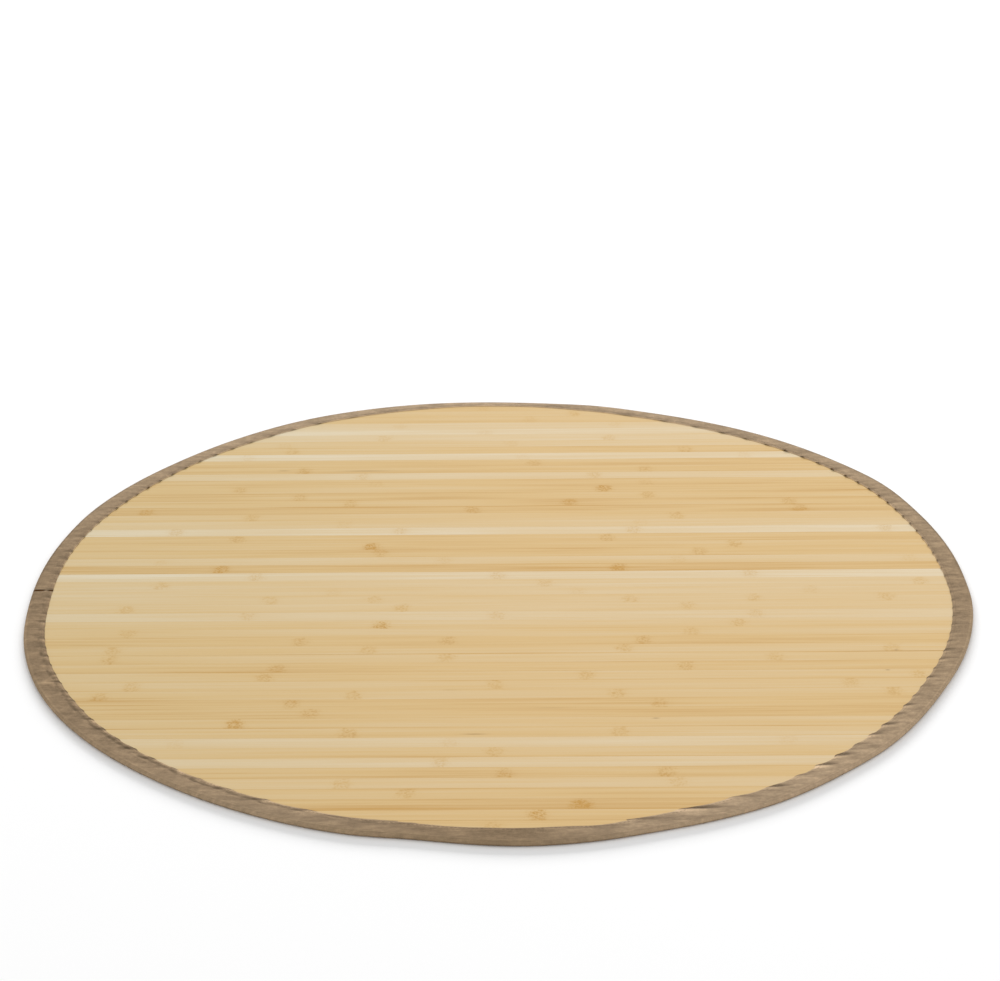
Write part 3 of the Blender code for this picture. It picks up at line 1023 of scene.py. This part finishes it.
        # Painted shade where the cloth is darker in front, where the table's value is below 0.
        dark[:, : tops + FOLD_STEPS] += np.maximum(-self.faded_and_lit, 0)[:, None]
        return dark

    def fading_and_light(self, inset):
        """How faded each point is, and how much painted light pales it. Behind, the cloth is only faded and
        lit as far as the first steps of its fold.
        """
        fading_and_light = np.tile(np.maximum(self.faded_and_lit, 0)[:, None], inset.shape[1])
        fading_and_light[:, self.inset.shape[1] + FADED_FOLD_STEPS :] *= 1 - self.held_down[:, None]
        return fading_and_light

    def under_seam(self):
        """The path of the seam on the lower flap."""
        radius = self.rim.at(self.rim_angle) - self.width + TOP_FROM_EDGE[SEAM_COLUMN] * MM
        return polar(radius, self.rim_angle, UNDER_SEAM_RISE)


def make_binding(row, rim, edge, material):
    """The tape, folded over the rim, with creases at the joints, a sewn groove and an open join."""
    tape = Tape(row, rim, edge)
    points, inset = tape.points()
    mesh = grid_mesh("cloth_binding", points, "strip")
    columns = points.shape[1]
    outer = columns // 2
    widths = np.linalg.norm(np.diff(points[:, :outer], axis=1), axis=2)
    across = np.hstack([np.zeros((len(points), 1)), np.cumsum(widths, axis=1)])
    values = {
        "along": np.tile(path_lengths(points[:, outer // 2])[:, None], columns),
        "across": np.hstack([across, across[:, ::-1]]),
        # The crease values are painted shade and light; the fade values are fading and painted light.
        "crease": tape.darkness(inset),
        "fade_and_light": tape.fading_and_light(inset),
    }
    for key, value in values.items():
        add_values(mesh, key, value.ravel())
    piece = add_piece("cloth_binding", mesh, material, "tape_cloth", "binding")
    return piece, points[:, SEAM_COLUMN], tape.under_seam()


def open_join(points, share, columns_on_top):
    """Draws the tape's two ends apart at the join and rolls them down. They touch part way across."""
    gap = JOIN_GAP * (JOIN_NARROWEST + (1 - JOIN_NARROWEST) * np.abs(np.sin(math.pi * (share - JOIN_TOUCH))))
    for end, away in ((0, -1), (-1, 1)):
        beside = end - away
        points[end, :, 1] += away * gap[end] / 2
        points[beside, :, 1] += away * (gap[beside] / 2 + JOIN_ROLL)
        points[end, :columns_on_top, 2] -= JOIN_ROLL


def stitch_points(path, facing):
    """Short stitches along a path, each sunk at its ends: rows of rings, one stitch after another."""
    along = path_lengths(path)

    def at(distance):
        return np.array([np.interp(distance, along, path[:, axis]) for axis in range(3)])

    turns = np.arange(THREAD_SIDES) * FULL_TURN / THREAD_SIDES
    up = np.array((0, 0, 1))
    stitches = []
    for place in np.arange(SEAM_MARGIN, along[-1] - STITCH_LENGTH - SEAM_MARGIN, STITCH_PITCH):
        start = at(place)
        run = at(place + STITCH_LENGTH) - start
        aside = np.cross(up, run / np.linalg.norm(run))
        around = np.cos(turns)[:, None] * aside + np.sin(turns)[:, None] * up
        loop = []
        for share, girth, rise in STITCH_RINGS:
            centre = start + share * run
            centre[2] += facing * rise * THREAD_RADIUS
            loop.append(centre + girth * THREAD_RADIUS * around)
        stitches.append(np.array(loop))
    return stitches


def make_thread(paths, material):
    """All the stitches of the seam, above and below, as one piece."""
    vertices, faces, along, fade_and_light = [], [], [], []
    for path, facing in paths:
        for loop in stitch_points(path, facing):
            first = len(vertices)
            rings = len(loop)
            index = first + np.arange(rings * THREAD_SIDES).reshape(rings, THREAD_SIDES)
            around = np.hstack([index, index[:, :1]])
            for i in range(rings - 1):
                for j in range(THREAD_SIDES):
                    faces.append([around[i, j], around[i + 1, j], around[i + 1, j + 1], around[i, j + 1]])
            faces.append(index[0].tolist())
            faces.append(index[-1][::-1].tolist())
            vertices += loop.reshape(-1, 3).tolist()
            along += np.repeat(np.linspace(0, STITCH_LENGTH, rings), THREAD_SIDES).tolist()
            x, y = loop[0, 0, :2]
            # The tape's fading and painted light where the stitch lies.
            faded_and_lit = max(walk(math.atan2(y, x) % FULL_TURN, "fade_and_light"), 0)
            fade_and_light += [faded_and_lit] * rings * THREAD_SIDES
    mesh = bpy.data.meshes.new("seam_thread")
    mesh.from_pydata(vertices, [], faces)
    mesh.shade_smooth()
    add_values(mesh, "along", along)
    add_values(mesh, "fade_and_light", fade_and_light)
    add_values(mesh, "across", np.tile(np.arange(THREAD_SIDES) * 0.1 * MM, len(vertices) // THREAD_SIDES))
    return add_piece("seam_thread", mesh, material, "tape_cloth")


def make_backing(material):
    """The felt that the slats are stuck to: a disc, a little uneven, that ends at the tape's lower edge."""
    vertices = cad_vertices("backing")
    radii = np.hypot(vertices[:, 0], vertices[:, 1])
    outline = Ring(vertices[radii > radii.max() / 2])
    low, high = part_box("backing")
    angles = np.arange(BACKING_STEPS) * FULL_TURN / BACKING_STEPS
    reach = outline.at(angles)
    shares = np.linspace(0, 1, BACKING_RINGS)
    radial = [BACKING_CENTRE + (reach - BACKING_EASE - BACKING_CENTRE) * share for share in shares]
    rings = [(radius, high.z) for radius in radial]
    rings += [(reach, high.z - BACKING_EASE), (reach, low.z + BACKING_EASE)]
    rings += [(radius, low.z) for radius in reversed(radial)]
    points = np.zeros((len(rings), BACKING_STEPS, 3))
    for i, (radius, z) in enumerate(rings):
        points[i] = polar(radius, angles, z)
    flat = points.reshape(-1, 3)
    middle = (low.z + high.z) / 2
    dimples = BACKING_DIMPLE * (ripple(flat, *DIMPLES) + 1) / 2
    flat[:, 2] += np.where(flat[:, 2] > middle, -dimples, dimples)
    mesh = grid_mesh("felt_backing", points[::-1], "face")
    return add_piece("felt_backing", mesh, material, "backing_cloth", "backing")


def make_floor():
    """A plain white floor that shines nowhere."""
    bpy.ops.mesh.primitive_plane_add(size=FLOOR_SIZE)
    floor = bpy.context.object
    floor.name = "floor"
    material = bpy.data.materials.new("floor")
    material.use_nodes = True
    shader = material.node_tree.nodes["Principled BSDF"]
    shader.inputs["Base Color"].default_value = (FLOOR_SHADE, FLOOR_SHADE, FLOOR_SHADE, 1)
    shader.inputs["Roughness"].default_value = 1
    shader.inputs["Specular IOR Level"].default_value = 0
    floor.data.materials.append(material)
    return floor


def make_light():
    """A white room, a wide soft lamp behind the rug and a small one at its right, neither seen in gloss."""
    world = bpy.data.worlds.new("studio")
    bpy.context.scene.world = world
    world.use_nodes = True
    background = world.node_tree.nodes["Background"]
    background.inputs["Color"].default_value = (1, 1, 1, 1)
    background.inputs["Strength"].default_value = SKY_STRENGTH
    for name, power, width, height, place in LAMPS:
        lamp = bpy.data.lights.new(name, "AREA")
        lamp.shape = "RECTANGLE"
        lamp.size = width
        lamp.size_y = height
        lamp.energy = power
        holder = bpy.data.objects.new(name, lamp)
        holder.location = place
        holder.rotation_euler = (-Vector(place)).to_track_quat("-Z", "Y").to_euler()
        holder.visible_glossy = False
        bpy.context.scene.collection.objects.link(holder)
    bpy.context.scene.view_settings.view_transform = "Standard"


def make_camera():
    """The view of the photo."""
    azimuth, elevation, roll = map(math.radians, (CAMERA_AZIMUTH, CAMERA_ELEVATION, CAMERA_ROLL))
    level = math.cos(elevation)
    forward = Vector((math.sin(azimuth) * level, math.cos(azimuth) * level, -math.sin(elevation)))
    right = Vector((math.cos(azimuth), -math.sin(azimuth), 0))
    up = right.cross(forward)
    turned_right = math.cos(roll) * right + math.sin(roll) * up
    turned_up = math.cos(roll) * up - math.sin(roll) * right
    data = bpy.data.cameras.new("camera")
    data.sensor_width = SENSOR_MM
    data.lens = CAMERA_FOCAL_PIXELS * SENSOR_MM / FRAME_WIDTH
    camera = bpy.data.objects.new("camera", data)
    place = Matrix((turned_right, turned_up, -forward)).transposed().to_4x4()
    place.translation = CAMERA_TARGET - CAMERA_DISTANCE * forward
    camera.matrix_world = place
    bpy.context.scene.collection.objects.link(camera)
    bpy.context.scene.camera = camera


def main():
    make_camera()
    make_light()
    floor = make_floor()
    row = SlatRow()
    bamboo = bamboo_material()
    slats = [make_slat(row, number, bamboo) for number in range(1, len(row.names) + 1)]
    rim, edge = tape_rings(row)
    binding, top_path, under_path = make_binding(row, rim, edge, tape_material())
    thread = make_thread([(top_path, 1), (under_path, -1)], thread_material())
    backing = make_backing(felt_material())


main()
